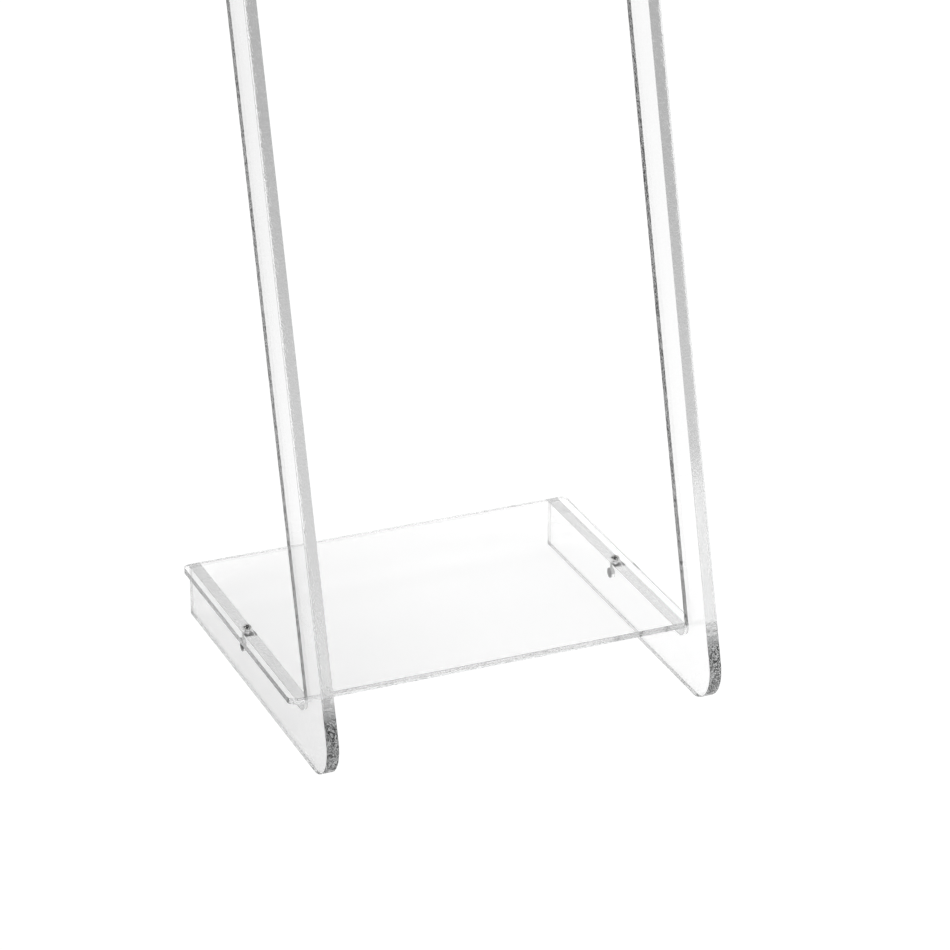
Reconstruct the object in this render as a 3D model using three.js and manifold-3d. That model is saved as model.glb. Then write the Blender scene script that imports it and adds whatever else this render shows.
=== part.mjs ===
// A free-standing floor lectern in clear acrylic sheet. Two Z-shaped side frames, each cut from one thick
// sheet, carry a thin base shelf on their feet and a sloping desk on their arms. Each plate is held to each
// frame by one domed bolt, which screws into a barrel nut lying across the frame's thickness.
// Millimetres. +Z is up, the reader stands at -Y, and the frames are mirror images about X = 0. The origin
// is on the floor, at the centre of the object's width and depth.
import * as THREE from 'three';
import { mergeVertices } from 'three/addons/utils/BufferGeometryUtils.js';
import Module from 'manifold-3d';

const wasm = await Module();
wasm.setup();

// Side frames
const FRAME_THICKNESS = 10;
const FRAME_SPAN = 328; // over the outer faces of the two frames
const STRIP_WIDTH = 40; // width of the foot, the post and the arm
const POST_LEAN = THREE.MathUtils.degToRad(15); // from vertical, away from the reader
const FOOT_LENGTH = 322;
const ARM_LENGTH = 345;
const DESK_SLOPE = THREE.MathUtils.degToRad(15); // down towards the reader
const REAR_CORNER_HEIGHT = 1144; // where the post's back and the arm's top would meet, unrounded
const OUTER_RADIUS = 30;
const INNER_RADIUS = 10;

// Plates
const PLATE_THICKNESS = 5;
const PLATE_WIDTH = 340;
const PLATE_CORNER_RADIUS = 6;
const SHELF_DEPTH = 250;
const DESK_DEPTH = 290;
const LIP_HEIGHT = 30;
const LIP_CORNER_RADIUS = 3;
const TURNED_GAP = 0.3; // kept between pieces that rest on each other on the slope

// Fasteners: M4 button-head bolts, 8 mm barrel nuts
const BOLT_RADIUS = 2;
const BOLT_LENGTH = 16;
const BOLT_END_CHAMFER = 0.5;
const HEAD_RADIUS = 3.8;
const HEAD_HEIGHT = 2.2;
const HEAD_TOP_RADIUS = 1.9;
const SOCKET_ACROSS_FLATS = 2.5;
const SOCKET_DEPTH = 1.3;
const NUT_RADIUS = 4;
const NUT_LENGTH = 9.6;
const NUT_SLOT_WIDTH = 1.2;
const NUT_SLOT_DEPTH = 1;
const NUT_DEPTH = 10; // from the frame's edge to the nut's axis
const CLEARANCE = 0.3; // all round a bolt or nut in its hole
const BOLT_HOLE_DEPTH = 13;

const ROUND_SEGMENTS = 24;
const CORNER_SEGMENTS = 12;

const ACRYLIC = { color: 0xf2f6f6, roughness: 0.05, metalness: 0, transparent: true, opacity: 0.35 };
const STEEL = { color: 0xb4b4b2, roughness: 0.25, metalness: 1 };

// The side frame's outline, in (y, z), from the sharp point where the foot's underside and the post's
// front would meet.
const leanTan = Math.tan(POST_LEAN);
const postBack = STRIP_WIDTH / Math.cos(POST_LEAN);
const armAlong = new THREE.Vector2(-Math.cos(DESK_SLOPE), -Math.sin(DESK_SLOPE));
const armUnder = new THREE.Vector2(Math.sin(DESK_SLOPE), -Math.cos(DESK_SLOPE));
const rearCorner = new THREE.Vector2(postBack + REAR_CORNER_HEIGHT * leanTan, REAR_CORNER_HEIGHT);
const armTip = rearCorner.clone().addScaledVector(armAlong, ARM_LENGTH);
const armTipUnder = armTip.clone().addScaledVector(armUnder, STRIP_WIDTH);

// Where the arm's underside meets the post's front line, y = z tan(lean).
function underArmCorner() {
  const run = (armTipUnder.y * leanTan - armTipUnder.x) / (-armAlong.x + armAlong.y * leanTan);
  return armTipUnder.clone().addScaledVector(armAlong, -run);
}

// How far back a rounded corner reaches between two directions that leave it.
function roundedReach(corner, directionA, directionB, radius) {
  const half = directionA.angleTo(directionB) / 2;
  const bisector = directionA.clone().add(directionB).normalize();
  return corner.clone().addScaledVector(bisector, radius / Math.sin(half));
}

// Depth runs from the top of the desk's lip, in front, to the round of the post's top, behind.
const postUp = new THREE.Vector2(Math.sin(POST_LEAN), Math.cos(POST_LEAN));
const shoulderCentre = roundedReach(rearCorner, postUp.clone().negate(), armAlong, OUTER_RADIUS);
const lipTop = armTip.clone()
  .addScaledVector(armAlong, PLATE_THICKNESS + TURNED_GAP)
  .addScaledVector(armUnder, -LIP_HEIGHT - TURNED_GAP);
const ORIGIN_Y = (lipTop.x + shoulderCentre.x + OUTER_RADIUS) / 2;

// A closed outline through corners {point, radius}, each rounded by its radius (0 leaves it sharp).
function roundedOutline(corners) {
  const shape = new THREE.Shape();
  corners.forEach(({ point, radius }, i) => {
    const before = corners[(i + corners.length - 1) % corners.length].point;
    const after = corners[(i + 1) % corners.length].point;
    const inward = before.clone().sub(point).normalize();
    const outward = after.clone().sub(point).normalize();
    const half = inward.angleTo(outward) / 2;
    const start = point.clone().addScaledVector(inward, radius / Math.tan(half));
    if (i === 0) shape.moveTo(start.x, start.y);
    else shape.lineTo(start.x, start.y);
    if (radius > 0) {
      const centre = roundedReach(point, inward, outward, radius);
      const end = point.clone().addScaledVector(outward, radius / Math.tan(half));
      const from = start.clone().sub(centre).angle();
      const to = end.clone().sub(centre).angle();
      const clockwise = inward.cross(outward) > 0;
      shape.absarc(centre.x, centre.y, radius, from, to, clockwise);
    }
  });
  shape.closePath();
  return shape;
}

function toSolid(geometry) {
  const bare = geometry.index ? geometry.toNonIndexed() : geometry.clone();
  bare.deleteAttribute('normal');
  bare.deleteAttribute('uv');
  const merged = mergeVertices(bare, 1e-4);
  return new wasm.Manifold(new wasm.Mesh({
    numProp: 3,
    vertProperties: new Float32Array(merged.attributes.position.array),
    triVerts: new Uint32Array(merged.index.array),
  }));
}

function toGeometry(solid) {
  const mesh = solid.getMesh();
  const geometry = new THREE.BufferGeometry();
  geometry.setAttribute('position', new THREE.BufferAttribute(mesh.vertProperties, 3));
  geometry.setIndex(new THREE.BufferAttribute(mesh.triVerts, 1));
  return geometry;
}

function named(name, geometry, finish) {
  const mesh = new THREE.Mesh(geometry, new THREE.MeshStandardMaterial(finish));
  mesh.name = name;
  return mesh;
}

// A closed round bar along +Z from z = low to z = high.
function roundBar(radius, low, high) {
  const bar = new THREE.CylinderGeometry(radius, radius, high - low, ROUND_SEGMENTS);
  bar.rotateX(Math.PI / 2);
  bar.translate(0, 0, (low + high) / 2);
  return bar;
}

// Places a plate and its fasteners: the origin is on the frame's edge, +Z is away from the edge.
const shelfMiddleY = FOOT_LENGTH - SHELF_DEPTH / 2 - ORIGIN_Y;
const deskMiddle = armTip.clone().addScaledVector(armAlong, -DESK_DEPTH / 2);
const SEATS = {
  base: { y: shelfMiddleY, z: STRIP_WIDTH, slope: 0, gap: 0 },
  desk: { y: deskMiddle.x - ORIGIN_Y, z: deskMiddle.y, slope: DESK_SLOPE, gap: TURNED_GAP },
};

function seatGroup({ y, z, slope }, x = 0) {
  const group = new THREE.Group();
  group.position.set(x, y, z);
  group.rotation.x = slope;
  return group;
}

// Holes in a frame for one bolt and its barrel nut.
function fastenerHoles(seat) {
  const place = seatGroup(seat);
  place.updateMatrix();
  const boltHole = roundBar(BOLT_RADIUS + CLEARANCE, -BOLT_HOLE_DEPTH, CLEARANCE);
  const nutHole = roundBar(NUT_RADIUS + CLEARANCE, -FRAME_THICKNESS, FRAME_THICKNESS);
  nutHole.rotateY(Math.PI / 2);
  nutHole.translate(0, 0, -NUT_DEPTH);
  return [boltHole, nutHole].map((hole) => toSolid(hole.applyMatrix4(place.matrix)));
}

function sideFrame(name, side) {
  const corner = (x, y, radius = 0) => ({ point: new THREE.Vector2(x, y), radius });
  const innerHeel = postBack + STRIP_WIDTH * leanTan;
  const armpit = underArmCorner();
  const outline = roundedOutline([
    corner(0, 0, OUTER_RADIUS),
    corner(FOOT_LENGTH, 0),
    corner(FOOT_LENGTH, STRIP_WIDTH),
    corner(innerHeel, STRIP_WIDTH, INNER_RADIUS),
    corner(rearCorner.x, rearCorner.y, OUTER_RADIUS),
    corner(armTip.x, armTip.y),
    corner(armTipUnder.x, armTipUnder.y),
    corner(armpit.x, armpit.y, INNER_RADIUS),
  ]);
  const sheet = new THREE.ExtrudeGeometry(outline, {
    depth: FRAME_THICKNESS,
    bevelEnabled: false,
    curveSegments: CORNER_SEGMENTS,
  });
  sheet.translate(0, 0, -FRAME_THICKNESS / 2);
  // outline (y, z) and thickness turn into the world's Y, Z and X
  sheet.applyMatrix4(new THREE.Matrix4().set(0, 0, 1, 0, 1, 0, 0, -ORIGIN_Y, 0, 1, 0, 0, 0, 0, 0, 1));
  const cut = Object.values(SEATS)
    .flatMap(fastenerHoles)
    .reduce((solid, hole) => solid.subtract(hole), toSolid(sheet));
  const frame = named(name, toGeometry(cut), ACRYLIC);
  frame.position.x = side * (FRAME_SPAN - FRAME_THICKNESS) / 2;
  return frame;
}

// A flat plate with rounded corners, its underside at z = 0, with a clearance hole over each frame.
function drilledPlate(name, depth, gap) {
  const halfWidth = PLATE_WIDTH / 2;
  const halfDepth = depth / 2;
  const outline = roundedOutline([
    { point: new THREE.Vector2(-halfWidth, -halfDepth), radius: PLATE_CORNER_RADIUS },
    { point: new THREE.Vector2(halfWidth, -halfDepth), radius: PLATE_CORNER_RADIUS },
    { point: new THREE.Vector2(halfWidth, halfDepth), radius: PLATE_CORNER_RADIUS },
    { point: new THREE.Vector2(-halfWidth, halfDepth), radius: PLATE_CORNER_RADIUS },
  ]);
  for (const side of [-1, 1]) {
    const hole = new THREE.Path();
    const x = side * (FRAME_SPAN - FRAME_THICKNESS) / 2;
    hole.absarc(x, 0, BOLT_RADIUS + CLEARANCE, 0, 2 * Math.PI, true);
    outline.holes.push(hole);
  }
  const sheet = new THREE.ExtrudeGeometry(outline, {
    depth: PLATE_THICKNESS,
    bevelEnabled: false,
    curveSegments: CORNER_SEGMENTS,
  });
  const plate = named(name, toGeometry(toSolid(sheet)), ACRYLIC);
  plate.position.z = gap;
  return plate;
}

// The strip along the desk's low edge, standing up square to the desk, with a rounded top corner each side.
function deskLip(name) {
  const halfWidth = PLATE_WIDTH / 2;
  const outline = roundedOutline([
    { point: new THREE.Vector2(-halfWidth, 0), radius: 0 },
    { point: new THREE.Vector2(halfWidth, 0), radius: 0 },
    { point: new THREE.Vector2(halfWidth, LIP_HEIGHT), radius: LIP_CORNER_RADIUS },
    { point: new THREE.Vector2(-halfWidth, LIP_HEIGHT), radius: LIP_CORNER_RADIUS },
  ]);
  const strip = new THREE.ExtrudeGeometry(outline, {
    depth: PLATE_THICKNESS,
    bevelEnabled: false,
    curveSegments: CORNER_SEGMENTS,
  });
  strip.rotateX(Math.PI / 2);
  const lip = named(name, toGeometry(toSolid(strip)), ACRYLIC);
  lip.position.set(0, -DESK_DEPTH / 2 - TURNED_GAP, TURNED_GAP);
  return lip;
}

// A button-head bolt: the underside of its head is at z = 0 and its shank points down.
function bolt(name) {
  const dome = new THREE.EllipseCurve(
    HEAD_TOP_RADIUS, 0, HEAD_RADIUS - HEAD_TOP_RADIUS, HEAD_HEIGHT, 0, Math.PI / 2,
  ).getPoints(8);
  const profile = [
    new THREE.Vector2(0, -BOLT_LENGTH),
    new THREE.Vector2(BOLT_RADIUS - BOLT_END_CHAMFER, -BOLT_LENGTH),
    new THREE.Vector2(BOLT_RADIUS, -BOLT_LENGTH + BOLT_END_CHAMFER),
    new THREE.Vector2(BOLT_RADIUS, 0),
    ...dome,
    new THREE.Vector2(0, HEAD_HEIGHT),
  ];
  const body = new THREE.LatheGeometry(profile, ROUND_SEGMENTS);
  body.rotateX(Math.PI / 2);
  const socketRadius = SOCKET_ACROSS_FLATS / 2 / Math.cos(Math.PI / 6);
  const socket = new THREE.CylinderGeometry(socketRadius, socketRadius, 2 * SOCKET_DEPTH, 6);
  socket.rotateX(Math.PI / 2);
  socket.translate(0, 0, HEAD_HEIGHT);
  return named(name, toGeometry(toSolid(body).subtract(toSolid(socket))), STEEL);
}

// A barrel nut along X, with its cross hole along Z and a screwdriver slot in one end.
function barrelNut(name, slotSide) {
  const body = roundBar(NUT_RADIUS, -NUT_LENGTH / 2, NUT_LENGTH / 2);
  body.rotateY(Math.PI / 2);
  const thread = roundBar(BOLT_RADIUS + CLEARANCE, -2 * NUT_RADIUS, 2 * NUT_RADIUS);
  const slot = new THREE.BoxGeometry(2 * NUT_SLOT_DEPTH, 3 * NUT_RADIUS, NUT_SLOT_WIDTH);
  slot.translate(slotSide * NUT_LENGTH / 2, 0, 0);
  const solid = toSolid(body).subtract(toSolid(thread)).subtract(toSolid(slot));
  return named(name, toGeometry(solid), STEEL);
}

function fasteners(prefix, seat) {
  const SIDES = { left: -1, right: 1 };
  return Object.entries(SIDES).map(([label, side]) => {
    const group = seatGroup(seat, side * (FRAME_SPAN - FRAME_THICKNESS) / 2);
    const screw = bolt(`${prefix}_bolt_${label}`);
    screw.position.z = seat.gap + PLATE_THICKNESS + seat.gap;
    const nut = barrelNut(`${prefix}_barrel_nut_${label}`, side);
    nut.position.z = -NUT_DEPTH;
    group.add(screw, nut);
    return group;
  });
}

const lectern = new THREE.Group();
lectern.add(sideFrame('side_frame_left', -1), sideFrame('side_frame_right', 1));

const shelf = seatGroup(SEATS.base);
shelf.add(drilledPlate('base_shelf', SHELF_DEPTH, SEATS.base.gap));
lectern.add(shelf, ...fasteners('base', SEATS.base));

const desk = seatGroup(SEATS.desk);
desk.add(drilledPlate('desk_plate', DESK_DEPTH, SEATS.desk.gap), deskLip('desk_lip'));
lectern.add(desk, ...fasteners('desk', SEATS.desk));

export default lectern;
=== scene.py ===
"""The looks of a free-standing clear acrylic floor lectern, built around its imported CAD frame.

Every piece is made here as a finer mesh of the same size: rounded corners without facets, softened arrises,
drilled holes, threaded bolts with hexagon sockets and slotted barrel nuts. Blender units are metres, +Z is
up, and the reader stands at -Y.
"""

import math

import bpy
from mathutils import Matrix, Vector
from mathutils.geometry import tessellate_polygon


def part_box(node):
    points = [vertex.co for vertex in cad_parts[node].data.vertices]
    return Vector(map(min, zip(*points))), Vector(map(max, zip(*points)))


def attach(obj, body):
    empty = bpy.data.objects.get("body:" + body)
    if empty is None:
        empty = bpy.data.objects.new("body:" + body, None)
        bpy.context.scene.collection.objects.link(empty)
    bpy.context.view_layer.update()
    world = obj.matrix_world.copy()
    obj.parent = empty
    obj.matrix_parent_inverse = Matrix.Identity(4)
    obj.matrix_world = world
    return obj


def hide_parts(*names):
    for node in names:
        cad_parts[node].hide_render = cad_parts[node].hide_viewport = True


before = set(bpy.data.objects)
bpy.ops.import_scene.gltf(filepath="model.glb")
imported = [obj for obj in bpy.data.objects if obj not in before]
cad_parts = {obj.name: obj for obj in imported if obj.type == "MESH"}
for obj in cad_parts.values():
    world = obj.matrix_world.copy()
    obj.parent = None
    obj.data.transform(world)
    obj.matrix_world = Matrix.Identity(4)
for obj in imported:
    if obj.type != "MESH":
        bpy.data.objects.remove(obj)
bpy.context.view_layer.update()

MM = 0.001

# Side frames, as in the CAD part
POST_LEAN = math.radians(15)
DESK_SLOPE = math.radians(15)
FOOT_LENGTH = 322 * MM
ARM_LENGTH = 345 * MM
REAR_CORNER_HEIGHT = 1144 * MM
OUTER_RADIUS = 30 * MM
INNER_RADIUS = 10 * MM

# Plates
PLATE_CORNER_RADIUS = 6 * MM
DESK_DEPTH = 290 * MM
LIP_HEIGHT = 30 * MM
LIP_CORNER_RADIUS = 3 * MM
TURNED_GAP = 0.3 * MM
AIR_GAP = 0.12 * MM  # the film of air that shows between two sheets laid on each other

# Fasteners
BOLT_RADIUS = 2 * MM
THREAD_DEPTH = 0.35 * MM
THREAD_PITCH = 0.7 * MM
BOLT_LENGTH = 16 * MM
BOLT_END_CHAMFER = 0.5 * MM
THREAD_FLANK = 0.42  # of the pitch, from a groove's bottom to its top
PLAIN_NECK = 0.6 * MM
HEAD_RADIUS = 3.8 * MM
HEAD_HEIGHT = 2.2 * MM
HEAD_TOP_RADIUS = 1.9 * MM
HEAD_RIM = 0.15 * MM
SOCKET_APOTHEM = 1.25 * MM
SOCKET_DEPTH = 1.3 * MM
SOCKET_CHAMFER = 0.1 * MM
SOCKET_CONE_RADIUS = 0.15 * MM
SOCKET_CONE_DEPTH = 0.4 * MM
SEATING_GAP = 0.03 * MM
NUT_RADIUS = 4 * MM
NUT_LENGTH = 9.6 * MM
NUT_CHAMFER = 0.35 * MM
NUT_END_RADIUS = 1.6 * MM  # of the ring inside its flat end, where the end's face is closed
NUT_SLOT_WIDTH = 1.2 * MM
NUT_SLOT_DEPTH = 1 * MM
NUT_DEPTH = 10 * MM
THREAD_FIT = 0.02 * MM
CLEARANCE = 0.3 * MM
BOLT_HOLE_DEPTH = 13 * MM
DRILL_EXCESS = 1 * MM  # above the edge that it drills into

# Mesh fineness
ARC_STEP = math.radians(2.5)
HOLE_SEGMENTS = 48
ARRIS_SEGMENTS = 3
FRAME_ARRIS = 0.3 * MM
PLATE_ARRIS = 0.15 * MM
SHARP_ANGLE = math.radians(30)

# Material slots of every acrylic piece
FACE, EDGE, ARRIS = 0, 1, 2


# ---------------------------------------------------------------- outlines

def rounded_outline(corners):
    """A closed outline, anticlockwise, through (u, v, radius) corners, each rounded by its radius."""
    points = []
    for i, (u, v, radius) in enumerate(corners):
        corner = Vector((u, v))
        if radius == 0:
            points.append(corner)
            continue
        before = Vector(corners[i - 1][:2])
        after = Vector(corners[(i + 1) % len(corners)][:2])
        inward = (before - corner).normalized()
        outward = (after - corner).normalized()
        half = inward.angle(outward) / 2
        centre = corner + (inward + outward).normalized() * (radius / math.sin(half))
        start = corner + inward * (radius / math.tan(half)) - centre
        turn = math.pi - 2 * half
        if inward.x * outward.y - inward.y * outward.x > 0:
            turn = -turn
        steps = max(2, round(abs(turn) / ARC_STEP))
        for k in range(steps + 1):
            angle = turn * k / steps
            c, s = math.cos(angle), math.sin(angle)
            points.append(centre + Vector((c * start.x - s * start.y, s * start.x + c * start.y)))
    return points


def hole_outline(u, v, radius):
    """A round hole, clockwise, so that the sheet lies on the left of it."""
    turn = -2 * math.pi / HOLE_SEGMENTS
    return [Vector((u + radius * math.cos(turn * k), v + radius * math.sin(turn * k)))
            for k in range(HOLE_SEGMENTS)]


def moved_into_sheet(points, distance):
    """The outline moved to its left by a distance, with mitred corners."""
    moved = []
    for i, point in enumerate(points):
        back = (point - points[i - 1]).normalized()
        ahead = (points[(i + 1) % len(points)] - point).normalized()
        left = Vector((-back.y - ahead.y, back.x + ahead.x)).normalized()
        moved.append(point + left * (distance / max(0.2, left.dot(Vector((-back.y, back.x))))))
    return moved


# ---------------------------------------------------------------- meshes

def finish_shading(mesh):
    """Smooth along curves, sharp where two kinds of surface meet."""
    mesh.polygons.foreach_set("use_smooth", [True] * len(mesh.polygons))
    mesh.set_sharp_from_angle(angle=SHARP_ANGLE)
    slots_of_edge = {}
    for polygon in mesh.polygons:
        for key in polygon.edge_keys:
            slots_of_edge.setdefault(key, set()).add(polygon.material_index)
    for edge in mesh.edges:
        if len(slots_of_edge.get(edge.key, ())) > 1:
            edge.use_edge_sharp = True


def new_piece(name, vertices, faces, slots, materials):
    mesh = bpy.data.meshes.new(name)
    mesh.from_pydata(vertices, [], faces)
    mesh.polygons.foreach_set("material_index", slots)
    for material in materials:
        mesh.materials.append(material)
    mesh.validate()
    piece = bpy.data.objects.new(name, mesh)
    bpy.context.scene.collection.objects.link(piece)
    return piece


def sheet_piece(name, outline, holes, thickness, arris, place, materials):
    """A flat sheet cut to an outline, with holes through it and a softened arris along every cut.

    The outline is in (u, v), the thickness is centred on w = 0, and place turns (u, v, w) into the row
    frame."""
    levels = []
    for k in range(ARRIS_SEGMENTS + 1):
        angle = math.pi / 2 * k / ARRIS_SEGMENTS
        levels.append((arris * (1 - math.sin(angle)), -thickness / 2 + arris * (1 - math.cos(angle))))
    levels += [(inset, -w) for inset, w in reversed(levels)]
    loops = [outline, *holes]
    vertices, faces, slots, rims = [], [], [], []
    for loop in loops:
        first = len(vertices)
        count = len(loop)
        for inset, w in levels:
            ring = moved_into_sheet(loop, inset) if inset > 0 else loop
            vertices += [place @ Vector((p.x, p.y, w)) for p in ring]
        for level in range(len(levels) - 1):
            low, high = first + level * count, first + (level + 1) * count
            for i in range(count):
                j = (i + 1) % count
                faces.append((low + i, low + j, high + j, high + i))
                slots.append(EDGE if level == ARRIS_SEGMENTS else ARRIS)
        rims.append((first, first + (len(levels) - 1) * count, count))
    flat = [moved_into_sheet(loop, arris) for loop in loops]
    triangles = tessellate_polygon([[Vector((p.x, p.y, 0)) for p in loop] for loop in flat])
    low_rim = [low + i for low, _, count in rims for i in range(count)]
    high_rim = [high + i for _, high, count in rims for i in range(count)]
    points = [p for loop in flat for p in loop]
    for a, b, c in triangles:
        turn = (points[b] - points[a]).cross(points[c] - points[a])
        a, b, c = (a, b, c) if turn > 0 else (a, c, b)
        faces += [(low_rim[a], low_rim[c], low_rim[b]), (high_rim[a], high_rim[b], high_rim[c])]
        slots += [FACE, FACE]
    if place.to_3x3().determinant() < 0:
        faces = [tuple(reversed(face)) for face in faces]
    return new_piece(name, vertices, faces, slots, materials)


def turned_piece(name, rings, count, materials, slots=None):
    """A closed body from rings about +Z, from its low end to its high end.

    A ring is two functions of the angle: its radius and its height. slots has the material of each step from a
    ring to the next one."""
    vertices, faces, kinds = [], [], []
    for radius, height in rings:
        for i in range(count):
            angle = 2 * math.pi * i / count
            r, z = radius(angle), height(angle)
            vertices.append(Vector((r * math.cos(angle), r * math.sin(angle), z)))
    for level in range(len(rings) - 1):
        low, high = level * count, (level + 1) * count
        for i in range(count):
            j = (i + 1) % count
            faces.append((low + i, low + j, high + j, high + i))
            kinds.append(0 if slots is None else slots[level])
    top = (len(rings) - 1) * count
    faces.append(tuple(reversed(range(count))))
    faces.append(tuple(range(top, top + count)))
    kinds += [kinds[0], kinds[-1]]
    return new_piece(name, vertices, faces, kinds, materials)


def cut(piece, cutter):
    """Takes the cutter's shape out of the piece, and removes the cutter."""
    modifier = piece.modifiers.new("cut", "BOOLEAN")
    modifier.operation = "DIFFERENCE"
    modifier.solver = "EXACT"
    modifier.object = cutter
    graph = bpy.context.evaluated_depsgraph_get()
    mesh = bpy.data.meshes.new_from_object(piece.evaluated_get(graph))
    piece.modifiers.clear()
    old = piece.data
    piece.data = mesh
    bpy.data.meshes.remove(old)
    piece.data.name = piece.name
    cutter_mesh = cutter.data
    bpy.data.objects.remove(cutter)
    bpy.data.meshes.remove(cutter_mesh)


def rod(radius, low, high, materials, slot=0):
    """A plain round cutter along +Z."""
    rings = [(lambda a: radius, lambda a, z=z: z) for z in (low, high)]
    return turned_piece("cutter", rings, HOLE_SEGMENTS, materials, [slot])


# ---------------------------------------------------------------- materials

class Nodes:
    """A few words for building a node tree."""

    def __init__(self, tree):
        self.tree = tree
        tree.nodes.clear()

    def add(self, kind, **inputs):
        node = self.tree.nodes.new(kind)
        for name, value in inputs.items():
            socket = node.inputs[name.replace("_", " ")]
            if isinstance(value, bpy.types.NodeSocket):
                self.tree.links.new(value, socket)
            else:
                socket.default_value = value
        return node

    def link(self, source, target):
        self.tree.links.new(source, target)

    def math(self, operation, a, b=0.0):
        node = self.tree.nodes.new("ShaderNodeMath")
        node.operation = operation
        for socket, value in zip(node.inputs, (a, b)):
            if isinstance(value, bpy.types.NodeSocket):
                self.tree.links.new(value, socket)
            else:
                socket.default_value = value
        return node.outputs[0]

    def product(self, *values):
        total = values[0]
        for value in values[1:]:
            total = self.math("MULTIPLY", total, value)
        return total

    def without(self, value):
        """1 less the value."""
        return self.math("SUBTRACT", 1.0, value)

    def ramp(self, value, low, high, to_low=0.0, to_high=1.0):
        """Value from low to high, smoothly, as to_low to to_high."""
        node = self.tree.nodes.new("ShaderNodeMapRange")
        node.interpolation_type = "SMOOTHSTEP"
        node.inputs["From Min"].default_value = low
        node.inputs["From Max"].default_value = high
        node.inputs["To Min"].default_value = to_low
        node.inputs["To Max"].default_value = to_high
        self.tree.links.new(value, node.inputs["Value"])
        return node.outputs["Result"]

    def band(self, value, low, low_full, high_full, high):
        """1 while the value is between two limits, falling off smoothly to 0 beyond them."""
        return self.product(self.ramp(value, low, low_full), self.ramp(value, high_full, high, 1, 0))

    def place(self, stretch=(1, 1, 1)):
        """The row frame's coordinates, stretched."""
        where = self.tree.nodes.new("ShaderNodeTexCoord")
        mapping = self.tree.nodes.new("ShaderNodeMapping")
        mapping.inputs["Scale"].default_value = stretch
        self.tree.links.new(where.outputs["Object"], mapping.inputs["Vector"])
        return mapping.outputs["Vector"]

    def noise(self, vector, scale, detail=2.0, roughness=0.5, distortion=0.0):
        node = self.add("ShaderNodeTexNoise", Vector=vector, Scale=scale, Detail=detail,
                        Roughness=roughness, Distortion=distortion)
        return node.outputs["Fac"]


def new_material(name):
    material = bpy.data.materials.new(name)
    material.use_nodes = True
    return material, Nodes(material.node_tree)


ACRYLIC_IOR = 1.49
ACRYLIC_TINT = (0.9, 0.904, 0.905, 1)


def acrylic(name, clearness, roughness, height, bump_distance, absorption):
    """Clear acrylic whose surface is given by functions of its nodes: a roughness and a height.

    clearness, a number or a function, is the share of the light that gets in and out through two such
    surfaces."""
    material, nodes = new_material(name)
    glass = nodes.add("ShaderNodeBsdfPrincipled", IOR=ACRYLIC_IOR, Roughness=roughness(nodes))
    if callable(clearness):
        nodes.link(clearness(nodes), glass.inputs["Base Color"])
    else:
        glass.inputs["Base Color"].default_value = (clearness, clearness, clearness, 1)
    glass.inputs["Transmission Weight"].default_value = 1
    bump = nodes.add("ShaderNodeBump", Strength=1.0, Distance=bump_distance, Height=height(nodes))
    nodes.link(bump.outputs["Normal"], glass.inputs["Normal"])
    inside = nodes.add("ShaderNodeVolumeAbsorption", Color=ACRYLIC_TINT, Density=absorption)
    out = nodes.add("ShaderNodeOutputMaterial")
    nodes.link(glass.outputs["BSDF"], out.inputs["Surface"])
    nodes.link(inside.outputs["Volume"], out.inputs["Volume"])
    return material


def polished_roughness(nodes):
    """Nearly mirror smooth, with a few hairline scratches."""
    streaks = nodes.noise(nodes.place((9, 140, 30)), scale=22, detail=3, roughness=0.6)
    return nodes.ramp(streaks, 0.68, 0.74, 0.004, 0.09)


def polished_height(nodes):
    """The slow waviness of cast sheet."""
    return nodes.noise(nodes.place(), scale=14, detail=1, roughness=0.4)


def cut_roughness(nodes):
    """Machined and flame polished: duller in patches."""
    patches = nodes.noise(nodes.place(), scale=60, detail=3, roughness=0.6)
    return nodes.ramp(patches, 0.35, 0.7, 0.005, 0.05)


# The toes' ends, where the flame left its marks in the relief and where shade is painted into the edges'
# colour: from full to none
TOE_HEIGHTS = (46 * MM, 56 * MM)
TOE_DEPTHS = (-125 * MM, -100 * MM)

# The relief of the cut edges, as shares of its full depth
RIDGE_RELIEF = 1.3
RIPPLE_RELIEF = 0.2
CUTTER_MARK_RELIEF = 0.04
RELIEF_OFF_THE_TOES = 0.07
RIDGE_WIDTH = 0.09  # in the noise that lays them out

CUT_CLEARNESS = 0.97
# Painted shade: the share of the edges' clearness taken off between the toes' ridges, so that the toes' ends
# look dark
TOE_PAINTED_SHADE = 0.82


def toes(nodes):
    """1 on the ends of the two feet's toes, 0 on the rest."""
    where = nodes.add("ShaderNodeSeparateXYZ", Vector=nodes.place())
    low = nodes.ramp(where.outputs["Z"], *TOE_HEIGHTS, 1, 0)
    front = nodes.ramp(where.outputs["Y"], *TOE_DEPTHS, 1, 0)
    return nodes.product(low, front)


def ridges(nodes):
    """Fine wandering ridges: 1 on them, 0 between them."""
    lines = nodes.noise(nodes.place((1, 1, 0.7)), scale=170, detail=1, roughness=0.4, distortion=2.5)
    off_line = nodes.math("ABSOLUTE", nodes.math("SUBTRACT", lines, 0.5))
    return nodes.ramp(off_line, 0.0, RIDGE_WIDTH, 1, 0)


def cut_height(nodes):
    """Faint cutter marks across the edge; ripples and ridges where the toes' ends were flame polished."""
    marks = nodes.noise(nodes.place((0.15, 1, 1)), scale=900, detail=2, roughness=0.5)
    ripples = nodes.noise(nodes.place(), scale=150, detail=1, roughness=0.4, distortion=1.0)
    uneven = nodes.math("ADD", nodes.product(ripples, RIPPLE_RELIEF),
                        nodes.product(ridges(nodes), RIDGE_RELIEF))
    relief = nodes.math("ADD", nodes.product(marks, CUTTER_MARK_RELIEF), uneven)
    return nodes.product(relief, nodes.math("ADD", toes(nodes), RELIEF_OFF_THE_TOES))


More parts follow.
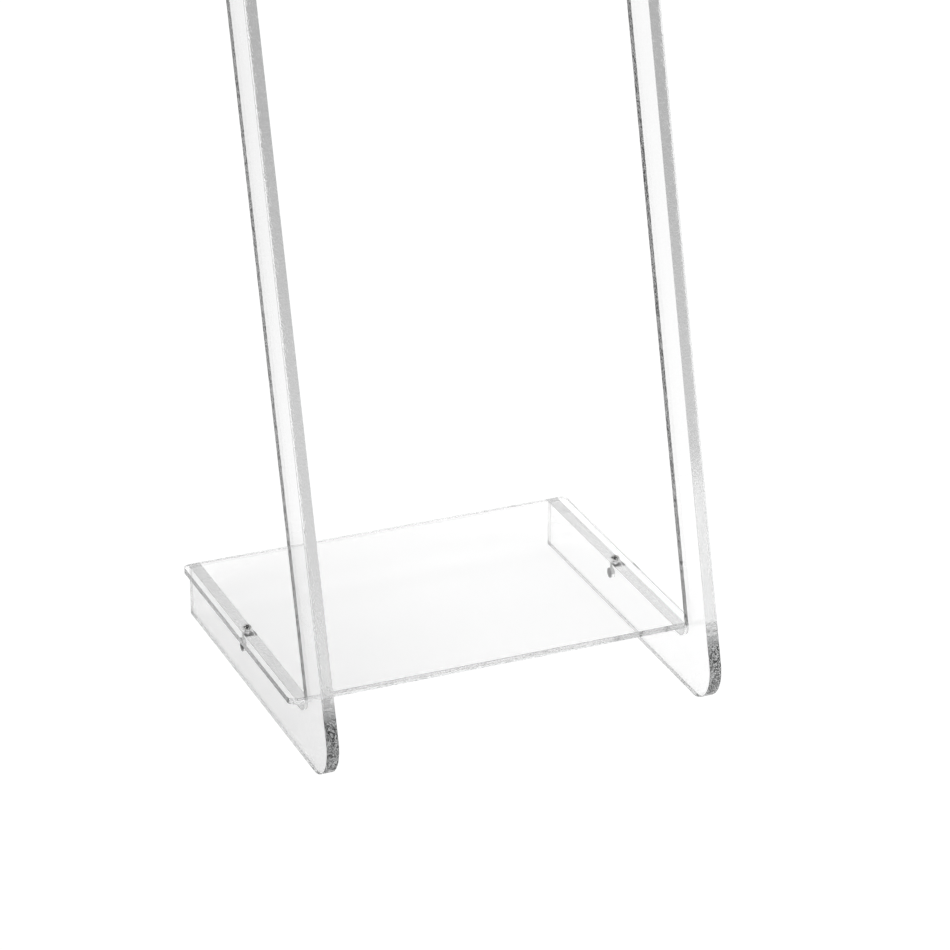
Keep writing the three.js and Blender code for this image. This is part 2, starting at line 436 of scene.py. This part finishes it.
def clearness_with_painted_toe_shade(nodes):
    """Clear, with painted shade on the toes' ends between their ridges: the colour there is darkened so that
    they look dark.
    """
    loss = nodes.ramp(ridges(nodes), 0.1, 0.8, TOE_PAINTED_SHADE, 0.0)
    return nodes.math("SUBTRACT", CUT_CLEARNESS, nodes.product(loss, toes(nodes)))


FACE_WAVE = 0.02 * MM


def acrylic_set(prefix, edge_clearness, ripple, absorption):
    """The materials of an acrylic piece's faces, cut edges and arrises. ripple is the edges' full relief."""
    return [
        acrylic(prefix + "_face", 1, polished_roughness, polished_height, FACE_WAVE, absorption),
        acrylic(prefix + "_edge", edge_clearness, cut_roughness, cut_height, ripple, absorption),
        acrylic(prefix + "_arris", edge_clearness, cut_roughness, polished_height, FACE_WAVE, absorption),
    ]


def steel(name, colour, low_roughness, high_roughness):
    """Turned stainless steel: a fine grain and a slightly mottled polish."""
    material, nodes = new_material(name)
    mottle = nodes.noise(nodes.place(), scale=900, detail=3, roughness=0.6)
    metal = nodes.add("ShaderNodeBsdfPrincipled", Base_Color=colour, Metallic=1.0,
                      Roughness=nodes.ramp(mottle, 0.3, 0.7, low_roughness, high_roughness))
    grain = nodes.noise(nodes.place((1, 1, 6)), scale=1500, detail=2, roughness=0.5)
    bump = nodes.add("ShaderNodeBump", Strength=0.4, Distance=0.01 * MM, Height=grain)
    nodes.link(bump.outputs["Normal"], metal.inputs["Normal"])
    out = nodes.add("ShaderNodeOutputMaterial")
    nodes.link(metal.outputs["BSDF"], out.inputs["Surface"])
    return material


# The frames' edges carry the painted shade on the toes' ends
FRAME_ACRYLIC = acrylic_set("frame_acrylic", clearness_with_painted_toe_shade, 0.4 * MM, 8)
PLATE_ACRYLIC = acrylic_set("plate_acrylic", 0.98, 0.3 * MM, 4)
BOLT_STEEL = [steel("bolt_steel", (0.7, 0.7, 0.69, 1), 0.03, 0.08)]
NUT_STEEL = [steel("nut_steel", (0.12, 0.12, 0.12, 1), 0.25, 0.45)]


# ---------------------------------------------------------------- places, from the frame

shelf_low, shelf_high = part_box("base_shelf")
left_low, left_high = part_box("side_frame_left")
strip_width = shelf_low.z
frame_thickness = left_high.x - left_low.x
plate_thickness = shelf_high.z - shelf_low.z
frame_x = {side: sum(c.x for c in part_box("side_frame_" + side)) / 2 for side in ("left", "right")}
toe_y = shelf_high.y - FOOT_LENGTH  # the sharp corner where the foot and the post's front would meet

arm_along = Vector((-math.cos(DESK_SLOPE), -math.sin(DESK_SLOPE)))
arm_under = Vector((math.sin(DESK_SLOPE), -math.cos(DESK_SLOPE)))
post_back = strip_width / math.cos(POST_LEAN)
rear_corner = Vector((toe_y + post_back + REAR_CORNER_HEIGHT * math.tan(POST_LEAN), REAR_CORNER_HEIGHT))
arm_tip = rear_corner + arm_along * ARM_LENGTH
arm_tip_under = arm_tip + arm_under * strip_width
desk_middle = arm_tip - arm_along * DESK_DEPTH / 2


def seat_matrix(y, z, slope):
    """The place of a plate on the frames' edges: the origin on the edge, +Z away from it."""
    return Matrix.Translation((0, y, z)) @ Matrix.Rotation(slope, 4, "X")


SEATS = {
    "base": (seat_matrix((shelf_low.y + shelf_high.y) / 2, strip_width, 0), 0),
    "desk": (seat_matrix(desk_middle.x, desk_middle.y, DESK_SLOPE), TURNED_GAP),
}


# ---------------------------------------------------------------- pieces

def frame_outline():
    tan = math.tan(POST_LEAN)
    run = (arm_tip_under.y * tan - (arm_tip_under.x - toe_y)) / (-arm_along.x + arm_along.y * tan)
    armpit = arm_tip_under - arm_along * run
    heel_y = toe_y + post_back + strip_width * tan
    return rounded_outline([
        (toe_y, 0, OUTER_RADIUS),
        (toe_y + FOOT_LENGTH, 0, 0),
        (toe_y + FOOT_LENGTH, strip_width, 0),
        (heel_y, strip_width, INNER_RADIUS),
        (rear_corner.x, rear_corner.y, OUTER_RADIUS),
        (arm_tip.x, arm_tip.y, 0),
        (arm_tip_under.x, arm_tip_under.y, 0),
        (armpit.x, armpit.y, INNER_RADIUS),
    ])


def side_frame(side):
    name = "side_frame_" + side
    holes = []
    for seat, _ in SEATS.values():
        nut = seat @ Vector((0, 0, -NUT_DEPTH))
        holes.append(hole_outline(nut.y, nut.z, NUT_RADIUS + CLEARANCE))
    to_row = Matrix(((0, 0, 1, frame_x[side]), (1, 0, 0, 0), (0, 1, 0, 0), (0, 0, 0, 1)))
    piece = sheet_piece(name + "_acrylic", frame_outline(), holes, frame_thickness, FRAME_ARRIS,
                        to_row, FRAME_ACRYLIC)
    for seat, _ in SEATS.values():
        drill = rod(BOLT_RADIUS + CLEARANCE, -BOLT_HOLE_DEPTH, DRILL_EXCESS, FRAME_ACRYLIC, EDGE)
        drill.data.transform(Matrix.Translation((frame_x[side], 0, 0)) @ seat)
        cut(piece, drill)
    return settle(piece, name, "acrylic_frame")


def plate(name, width, depth, seat, gap, lift, slot):
    """A plate with rounded corners and one bolt hole over each frame. lift raises only its underside."""
    corners = [(-1, -1), (1, -1), (1, 1), (-1, 1)]
    outline = rounded_outline([(u * width / 2, v * depth / 2, PLATE_CORNER_RADIUS)
                               for u, v in corners])
    holes = [hole_outline(x, 0, BOLT_RADIUS + CLEARANCE) for x in frame_x.values()]
    thickness = plate_thickness - lift
    middle = gap + lift + thickness / 2
    piece = sheet_piece(name + "_acrylic", outline, holes, thickness, PLATE_ARRIS,
                        seat @ Matrix.Translation((0, 0, middle)), PLATE_ACRYLIC)
    return settle(piece, name, slot)


def desk_lip(width):
    seat, gap = SEATS["desk"]
    outline = rounded_outline([
        (-width / 2, 0, 0),
        (width / 2, 0, 0),
        (width / 2, LIP_HEIGHT, LIP_CORNER_RADIUS),
        (-width / 2, LIP_HEIGHT, LIP_CORNER_RADIUS),
    ])
    stand_up = Matrix(((1, 0, 0, 0), (0, 0, 1, 0), (0, 1, 0, 0), (0, 0, 0, 1)))
    front = -DESK_DEPTH / 2 - gap - plate_thickness / 2
    place = seat @ Matrix.Translation((0, front, gap)) @ stand_up
    piece = sheet_piece("desk_lip_acrylic", outline, [], plate_thickness, PLATE_ARRIS, place, PLATE_ACRYLIC)
    return settle(piece, "desk_lip", "acrylic_plate")


def settle(piece, node, slot):
    """The last steps of every piece: shading, the body and the CAD node that it stands for. slot, its finish,
    is not used.
    """
    finish_shading(piece.data)
    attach(piece, "root")
    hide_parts(node)
    return piece


def constant(value):
    return lambda angle: value


def hexagon(apothem):
    """The radius of a hexagon's outline at an angle."""
    sector = math.pi / 3
    return lambda angle: apothem / math.cos((angle % sector) - sector / 2)


BOLT_COUNT = 48
THREAD_STEPS = 6
DOME_STEPS = 10


def bolt_rings():
    """A button-head bolt from the end of its thread to the bottom of its hexagon socket."""
    rings = [(constant(BOLT_RADIUS - BOLT_END_CHAMFER), constant(-BOLT_LENGTH))]
    start, end = -BOLT_LENGTH + BOLT_END_CHAMFER, -PLAIN_NECK
    count = round((end - start) / THREAD_PITCH * THREAD_STEPS)

    def thread_radius(z):
        def radius(angle):
            phase = (z / THREAD_PITCH - angle / (2 * math.pi)) % 1
            groove = max(0, 1 - abs(phase - 0.5) / THREAD_FLANK)
            fade = min(1, (z - start) / THREAD_PITCH, (end - z) / THREAD_PITCH)
            return BOLT_RADIUS - THREAD_DEPTH * groove * max(0, fade)
        return radius

    heights = [start + (end - start) * k / count for k in range(count + 1)]
    rings += [(thread_radius(z), constant(z)) for z in heights]
    rings += [
        (constant(BOLT_RADIUS), constant(0)),
        (constant(HEAD_RADIUS - HEAD_RIM), constant(0)),
        (constant(HEAD_RADIUS), constant(HEAD_RIM)),
    ]
    dome_foot = 2 * HEAD_RIM
    for k in range(DOME_STEPS + 1):
        angle = math.pi / 2 * k / DOME_STEPS
        radius = HEAD_TOP_RADIUS + (HEAD_RADIUS - HEAD_TOP_RADIUS) * math.cos(angle)
        rings.append((constant(radius), constant(dome_foot + (HEAD_HEIGHT - dome_foot) * math.sin(angle))))
    rings += [
        (hexagon(SOCKET_APOTHEM + SOCKET_CHAMFER), constant(HEAD_HEIGHT)),
        (hexagon(SOCKET_APOTHEM), constant(HEAD_HEIGHT - SOCKET_CHAMFER)),
        (hexagon(SOCKET_APOTHEM), constant(HEAD_HEIGHT - SOCKET_DEPTH)),
        (constant(SOCKET_CONE_RADIUS), constant(HEAD_HEIGHT - SOCKET_DEPTH - SOCKET_CONE_DEPTH)),
    ]
    return rings


def bolt(prefix, side):
    seat, gap = SEATS[prefix]
    node = f"{prefix}_bolt_{side}"
    piece = turned_piece(node + "_steel", bolt_rings(), BOLT_COUNT, BOLT_STEEL)
    height = gap + plate_thickness + max(gap, SEATING_GAP)
    piece.data.transform(Matrix.Translation((frame_x[side], 0, 0)) @ seat
                         @ Matrix.Translation((0, 0, height)))
    return settle(piece, node, "steel_bolt")


def barrel_nut(prefix, side):
    seat, _ = SEATS[prefix]
    node = f"{prefix}_barrel_nut_{side}"
    half = NUT_LENGTH / 2
    end = [(NUT_END_RADIUS, half), (NUT_RADIUS - NUT_CHAMFER, half), (NUT_RADIUS, half - NUT_CHAMFER)]
    profile = [(radius, -z) for radius, z in end] + end[::-1]
    rings = [(constant(radius), constant(z)) for radius, z in profile]
    piece = turned_piece(node + "_steel", rings, HOLE_SEGMENTS, NUT_STEEL)
    piece.data.transform(Matrix.Rotation(math.pi / 2, 4, "Y"))
    cut(piece, rod(BOLT_RADIUS + THREAD_FIT, -2 * NUT_RADIUS, 2 * NUT_RADIUS, NUT_STEEL))
    outward = math.copysign(1, frame_x[side])
    cut(piece, slot_cutter(outward * half))
    piece.data.transform(Matrix.Translation((frame_x[side], 0, 0)) @ seat
                         @ Matrix.Translation((0, 0, -NUT_DEPTH)))
    return settle(piece, node, "steel_nut")


def slot_cutter(x):
    """A bar that cuts a screwdriver slot across the nut's end at x."""
    half = (NUT_SLOT_DEPTH, 2 * NUT_RADIUS, NUT_SLOT_WIDTH / 2)
    signs = [(a, b, c) for a in (-1, 1) for b in (-1, 1) for c in (-1, 1)]
    vertices = [Vector((x + a * half[0], b * half[1], c * half[2])) for a, b, c in signs]
    faces = [(0, 1, 3, 2), (4, 6, 7, 5), (0, 4, 5, 1), (2, 3, 7, 6), (0, 2, 6, 4), (1, 5, 7, 3)]
    return new_piece("cutter", vertices, faces, [0] * 6, NUT_STEEL)


plate_width = shelf_high.x - shelf_low.x
for side in ("left", "right"):
    side_frame(side)
plate("base_shelf", plate_width, shelf_high.y - shelf_low.y, *SEATS["base"], AIR_GAP, "acrylic_plate")
plate("desk_plate", plate_width, DESK_DEPTH, *SEATS["desk"], 0, "acrylic_plate")
desk_lip(plate_width)
for prefix in SEATS:
    for side in ("left", "right"):
        bolt(prefix, side)
        barrel_nut(prefix, side)


# ---------------------------------------------------------------- floor, light and camera

LIT_FLOOR_RADIUS = 0.3
LIT_FLOOR_FADE = 0.1
LIT_FLOOR_ALBEDO = 0.8
# Painted shade: the lit floor's glow is weaker on the left, as if the light came from the right
LIT_FLOOR_SIDES = (-0.3, 0.1)  # where its glow starts and stops getting stronger, from left to right
LIT_FLOOR_GLOWS = (0.56, 0.78)
OPEN_FLOOR_GLOW = 1.05
OPEN_FLOOR_RADIUS = 20.0
BACKDROP_HEIGHT = 20.0
FLOOR_DROP = 0.2 * MM  # below the feet, so that a film of air shows under them
FLOOR_SEGMENTS = 96


def lit_paint():
    """Pale paint on a light table, so that shadows are only faint.

    It is a little darker on the left, which is painted shade, and fades out at its rim."""
    material, nodes = new_material("lit_paint")
    paint = nodes.add("ShaderNodeBsdfDiffuse", Color=(LIT_FLOOR_ALBEDO,) * 3 + (1,))
    where = nodes.add("ShaderNodeSeparateXYZ", Vector=nodes.place())
    glow = nodes.add("ShaderNodeEmission", Color=(1, 1, 1, 1),
                     Strength=nodes.ramp(where.outputs["X"], *LIT_FLOOR_SIDES, *LIT_FLOOR_GLOWS))
    both = nodes.add("ShaderNodeAddShader")
    nodes.link(paint.outputs["BSDF"], both.inputs[0])
    nodes.link(glow.outputs["Emission"], both.inputs[1])
    away = nodes.tree.nodes.new("ShaderNodeVectorMath")
    away.operation = "LENGTH"
    nodes.link(nodes.place(), away.inputs[0])
    fade = nodes.ramp(away.outputs["Value"], LIT_FLOOR_RADIUS - LIT_FLOOR_FADE, LIT_FLOOR_RADIUS)
    faded = nodes.add("ShaderNodeMixShader", Fac=fade)
    nodes.link(both.outputs["Shader"], faded.inputs[1])
    nodes.link(nodes.add("ShaderNodeBsdfTransparent").outputs["BSDF"], faded.inputs[2])
    out = nodes.add("ShaderNodeOutputMaterial")
    nodes.link(faded.outputs["Shader"], out.inputs["Surface"])
    return material


def open_paint():
    """The plain white of the floor and the backdrop where nothing stands in front of them."""
    material, nodes = new_material("open_paint")
    glow = nodes.add("ShaderNodeEmission", Color=(1, 1, 1, 1), Strength=OPEN_FLOOR_GLOW)
    out = nodes.add("ShaderNodeOutputMaterial")
    nodes.link(glow.outputs["Emission"], out.inputs["Surface"])
    return material


def floor(name, radius, drop, material, wall_height=0.0):
    """A round floor about the lectern, with a round wall of some height at its rim."""
    count = FLOOR_SEGMENTS
    angles = [2 * math.pi * k / count for k in range(count)]
    levels = (-drop, wall_height) if wall_height else (-drop,)
    vertices = [Vector((radius * math.cos(angle), radius * math.sin(angle), z))
                for z in levels for angle in angles]
    faces = [tuple(range(count))]
    if wall_height:
        faces += [((i + 1) % count, i, count + i, count + (i + 1) % count) for i in range(count)]
    piece = new_piece(name, vertices, faces, [0] * len(faces), [material])
    return piece


def floors():
    """One floor lights the acrylic and shows through it; only the camera sees the other and its backdrop."""
    lit = floor("lit_floor", LIT_FLOOR_RADIUS, FLOOR_DROP, lit_paint())
    lit.visible_camera = False
    plain = floor("open_floor", OPEN_FLOOR_RADIUS, 2 * FLOOR_DROP, open_paint(), BACKDROP_HEIGHT)
    plain.visible_diffuse = False
    plain.visible_glossy = False
    plain.visible_transmission = False
    plain.visible_shadow = False


WALL_LEVEL = 1.1
CEILING_SHARE = 0.03  # of the walls' light
FLAG_SHARE = 0.02  # of the light behind the far flags that gets past them
NEAR_FLAG_SHARE = 0.05
OVER_NEAR_FLAG_SHARE = 0.5
EYE_LEVEL_LOSS = 0.28
NEAR_SHARE = 0.74  # of the walls' light, behind the photographer
LAMP_LEVEL = 3.2
LAMP_ELEVATIONS_AND_HEADINGS = ((52, 80), (60, -60), (50, 165))  # degrees; a heading of 0 is +Y, 90 is +X
LAMP_RADIUS = math.radians(7)
LAMP_EDGE = math.radians(1.5)


def lamps(nodes, direction):
    """Round soft lamps in the ceiling."""
    total = 0.0
    for elevation, heading in LAMP_ELEVATIONS_AND_HEADINGS:
        up, turn = math.radians(elevation), math.radians(heading)
        across = math.cos(up)
        towards = nodes.tree.nodes.new("ShaderNodeVectorMath")
        towards.operation = "DOT_PRODUCT"
        nodes.link(direction, towards.inputs[0])
        towards.inputs[1].default_value = (across * math.sin(turn), across * math.cos(turn), math.sin(up))
        lamp = nodes.ramp(towards.outputs["Value"], math.cos(LAMP_RADIUS + LAMP_EDGE), math.cos(LAMP_RADIUS),
                          0, LAMP_LEVEL)
        total = nodes.math("ADD", lamp, total)
    return total


def studio():
    """White walls with a dark ceiling, soft lamps in it, and black flags at eye level.

    The walls are greyer low down on the left, at eye level and behind the photographer. The flags stand aside
    of the lectern, two behind it and two behind the photographer. All limits are parts of a unit vector."""
    world = bpy.data.worlds.new("studio")
    bpy.context.scene.world = world
    world.use_nodes = True
    nodes = Nodes(world.node_tree)
    direction = nodes.add("ShaderNodeTexCoord").outputs["Generated"]
    split = nodes.add("ShaderNodeSeparateXYZ", Vector=direction)
    side, back, up = split.outputs["X"], split.outputs["Y"], split.outputs["Z"]

    left_level = nodes.math("ADD", nodes.ramp(up, -0.28, -0.16, 0.5, 1.0),
                            nodes.ramp(up, -0.47, -0.31, 0.28, 0.0))
    right = nodes.ramp(side, -0.15, 0.1)
    lit = nodes.math("ADD", left_level, nodes.product(right, nodes.math("SUBTRACT", WALL_LEVEL, left_level)))
    towards_the_top = nodes.ramp(up, 0.15, 0.42, 1, 0.8)
    ceiling = nodes.ramp(up, 0.47, 0.5, 1, CEILING_SHARE)
    eye_level = nodes.without(nodes.product(nodes.band(up, -0.24, -0.17, 0.1, 0.18), EYE_LEVEL_LOSS))
    near = nodes.ramp(back, -0.4, -0.2, NEAR_SHARE, 1)
    walls = nodes.product(lit, towards_the_top, ceiling, eye_level, near)

    flags = nodes.band(nodes.math("ABSOLUTE", side), 0.16, 0.22, 0.5, 0.6)
    far_flags = nodes.product(flags, nodes.ramp(back, 0.0, 0.1), nodes.band(up, -0.15, -0.12, 0.3, 0.36))
    past_far_flags = nodes.without(nodes.product(far_flags, 1 - FLAG_SHARE))
    past_near_flags = nodes.ramp(back, -0.5, -0.3, NEAR_FLAG_SHARE, 1)
    beside_near_flags = nodes.without(flags)
    under_near_flags = nodes.ramp(up, -0.16, -0.09, 1, 0)
    over_near_flags = nodes.ramp(up, 0.2, 0.3, 0, OVER_NEAR_FLAG_SHARE)
    for light_past in (beside_near_flags, under_near_flags, over_near_flags):
        past_near_flags = nodes.math("MAXIMUM", past_near_flags, light_past)

    total = nodes.math("ADD", nodes.product(walls, past_far_flags, past_near_flags), lamps(nodes, direction))
    light = nodes.add("ShaderNodeBackground", Color=(1, 1, 1, 1), Strength=total)
    out = nodes.add("ShaderNodeOutputWorld")
    nodes.link(light.outputs["Background"], out.inputs["Surface"])


# The camera stands in front of the lectern, to its left, and looks down at its lower half.
CAMERA_HEADING = math.radians(22.79)
CAMERA_PITCH = math.radians(25.10)
CAMERA_PLACE = Vector((-1.0799, -2.6257, 1.4912))
CAMERA_LENS = 151.9
SENSOR_WIDTH = 36
MOST_BOUNCES = 64  # light leaves the shelf's edges after up to 25 inner reflections


def camera():
    data = bpy.data.cameras.new("camera")
    data.sensor_width = SENSOR_WIDTH
    data.lens = CAMERA_LENS
    data.clip_start = 0.01
    data.clip_end = 100
    piece = bpy.data.objects.new("camera", data)
    bpy.context.scene.collection.objects.link(piece)
    piece.location = CAMERA_PLACE
    piece.rotation_euler = (math.pi / 2 - CAMERA_PITCH, 0, -CAMERA_HEADING)
    bpy.context.scene.camera = piece


def tone():
    """White stays white, and light may bounce as often as it has to inside the acrylic."""
    scene = bpy.context.scene
    scene.view_settings.view_transform = "Standard"
    scene.cycles.max_bounces = MOST_BOUNCES
    scene.cycles.transmission_bounces = MOST_BOUNCES
    scene.cycles.glossy_bounces = MOST_BOUNCES


floors()
studio()
camera()
tone()
